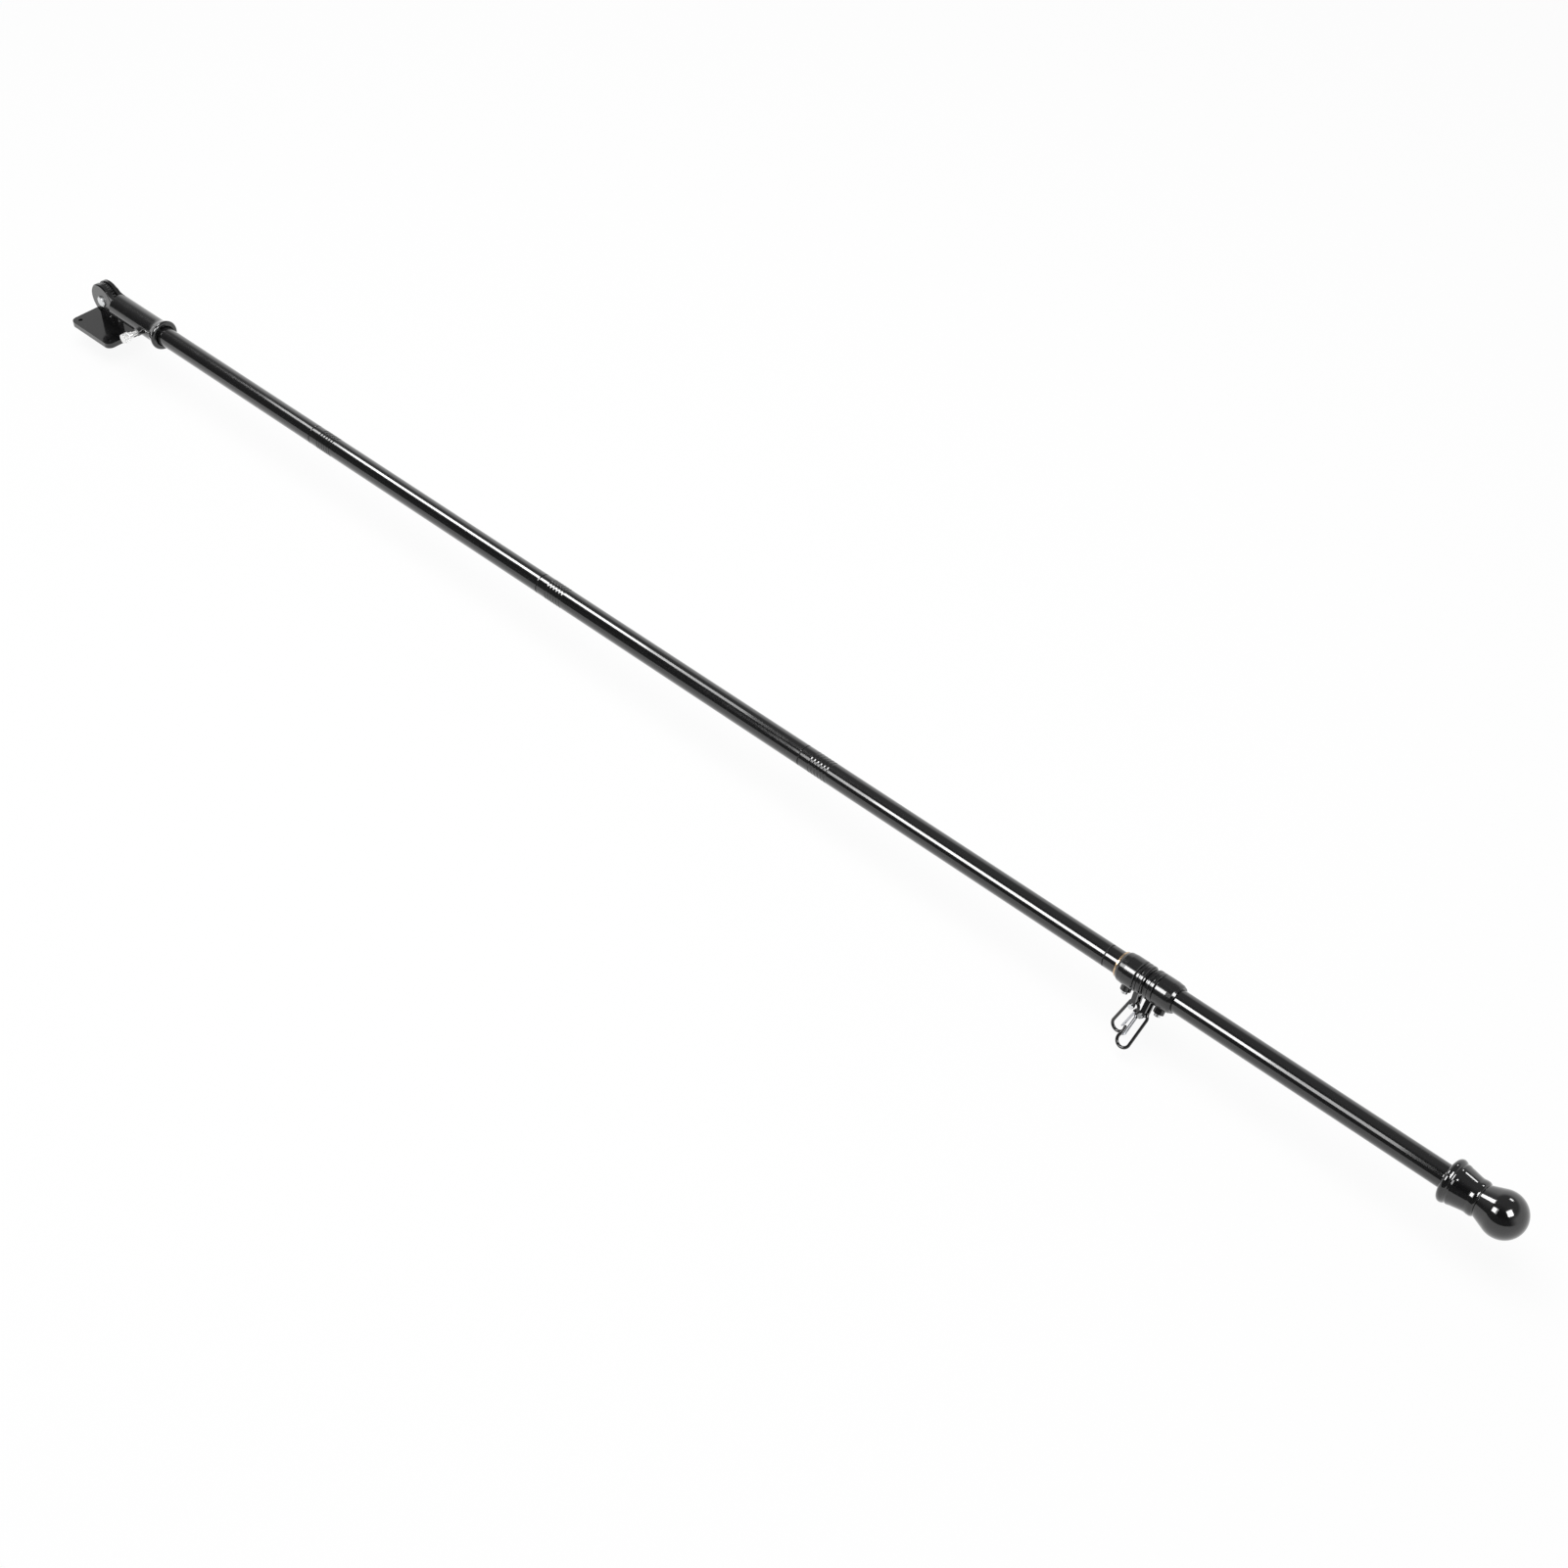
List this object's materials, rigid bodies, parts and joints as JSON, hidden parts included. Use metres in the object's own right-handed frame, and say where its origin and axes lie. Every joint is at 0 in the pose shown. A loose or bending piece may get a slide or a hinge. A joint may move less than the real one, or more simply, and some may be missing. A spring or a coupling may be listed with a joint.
{
  "type": "wall mounted flagpole",
  "caption": "Black wall flagpole: tilting bolt-on bracket, sectional tube pole with grooved joints, turning flag rings with snap clips, and a ball finial.",
  "frame": {"origin": "centre of the base plate's flat back face", "axes": "+X along the pole away from the bracket, +Z out of the base plate, +Y across the plate"},
  "size_m": [2.2575, 0.0795, 0.0963],
  "materials": {
    "bracket_black": "gloss black paint on cast aluminium",
    "tube_black": "gloss black paint on steel tube",
    "zinc_steel": "zinc plated",
    "bright_thumb_screw": "bright plated",
    "insert_plastic": "moulded",
    "end_ring_brass": "pale brass",
    "ring_black": "moulded gloss black",
    "clip_black": "black coated wire rod",
    "gate_steel": "drawn stainless wire",
    "finial_black": "gloss black"
  },
  "bodies": {
    "bracket_base": {"base_plate": "bracket_black"},
    "tilt_arm": {"socket_arm": "bracket_black", "pivot_bolt": "zinc_steel", "pivot_washer": "zinc_steel", "pivot_nut": "zinc_steel"},
    "thumb_screw": {"thumb_screw": "bright_thumb_screw"},
    "pole": {"pole_section_1": "tube_black", "pole_section_2": "tube_black", "pole_section_3": "tube_black", "pole_section_4": "tube_black", "pole_section_5": "tube_black", "joint_insert_1": "insert_plastic", "joint_insert_2": "insert_plastic", "joint_insert_3": "insert_plastic", "joint_insert_4": "insert_plastic", "end_ring": "end_ring_brass", "sleeve_a": "ring_black", "sleeve_b": "ring_black", "set_screw_a": "zinc_steel", "set_screw_b": "zinc_steel", "finial_neck": "finial_black", "finial_ball": "finial_black"},
    "ring_a": {"flag_ring_a": "ring_black", "ear_screw_a": "zinc_steel"},
    "ring_b": {"flag_ring_b": "ring_black", "ear_screw_b": "zinc_steel"},
    "clip_a": {"clip_body_a": "clip_black"},
    "clip_b": {"clip_body_b": "clip_black"},
    "gate_a": {"clip_gate_a": "gate_steel"},
    "gate_b": {"clip_gate_b": "gate_steel"}
  },
  "joints": [
    {"name": "arm_tilt", "type": "hinge", "parent": "bracket_base", "child": "tilt_arm", "pos_m": [0.005, 0, 0.047], "axis": [0, -1, 0], "range_deg": [0, 180]},
    {"name": "thumb_screw_turn", "type": "hinge", "parent": "tilt_arm", "child": "thumb_screw", "pos_m": [0.1, -0.02, 0.047], "axis": [0, -1, 0], "continuous": true},
    {"name": "pole_slide", "type": "slide", "parent": "tilt_arm", "child": "pole", "axis": [1, 0, 0], "range_m": [0, 0.085]},
    {"name": "ring_a_turn", "type": "hinge", "parent": "pole", "child": "ring_a", "pos_m": [1.7735, 0, 0.047], "axis": [1, 0, 0], "continuous": true},
    {"name": "ring_b_turn", "type": "hinge", "parent": "pole", "child": "ring_b", "pos_m": [1.7855, 0, 0.047], "axis": [1, 0, 0], "continuous": true},
    {"name": "clip_a_swing", "type": "hinge", "parent": "ring_a", "child": "clip_a", "pos_m": [1.77065, -0.0091, 0.01528], "axis": [0, 0.9613, -0.2756], "range_deg": [-57, 23]},
    {"name": "clip_b_swing", "type": "hinge", "parent": "ring_b", "child": "clip_b", "pos_m": [1.78835, -0.01845, 0.01964], "axis": [0, 0.829, -0.5592], "range_deg": [-50, 30]},
    {"name": "gate_a_open", "type": "hinge", "parent": "clip_a", "child": "gate_a", "pos_m": [1.77405, -0.01086, 0.00913], "axis": [0, 0.9613, -0.2756], "range_deg": [0, 11], "stiffness_Nm_per_rad": 0.02, "springref_deg": -17.19},
    {"name": "gate_b_open", "type": "hinge", "parent": "clip_b", "child": "gate_b", "pos_m": [1.78228, -0.02066, 0.01637], "axis": [0, -0.829, 0.5592], "range_deg": [0, 11], "stiffness_Nm_per_rad": 0.02, "springref_deg": -17.19}
  ]
}
